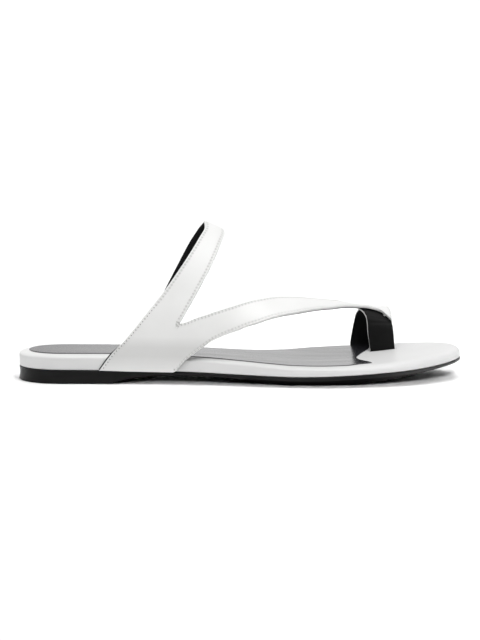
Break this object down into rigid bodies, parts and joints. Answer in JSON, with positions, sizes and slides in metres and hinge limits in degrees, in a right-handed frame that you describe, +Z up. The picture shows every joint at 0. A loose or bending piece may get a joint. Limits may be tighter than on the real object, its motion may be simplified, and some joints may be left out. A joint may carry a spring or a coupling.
{
  "type": "flat sandal",
  "caption": "Flat slide sandal for the right foot: low heel, wrapped footbed, a forked strap over the instep and across the toes, and a loop round the big toe.",
  "frame": {"origin": "centre of the bounding box, on the floor the sandal stands on", "axes": "+X from the heel to the toe, +Y to the inner side of the foot, +Z up"},
  "size_m": [0.25, 0.0936, 0.089],
  "materials": {
    "black_rubber": "satin",
    "white_wrap": "smooth, satin",
    "black_sock": "fine grain, satin",
    "white_leather": "smooth, satin",
    "black_leather": "fine grain, satin"
  },
  "bodies": {
    "root": {"outsole": "black_rubber", "footbed": "white_wrap", "insole": "black_sock", "upper": "white_leather", "toe_post": "black_leather"}
  },
  "joints": []
}
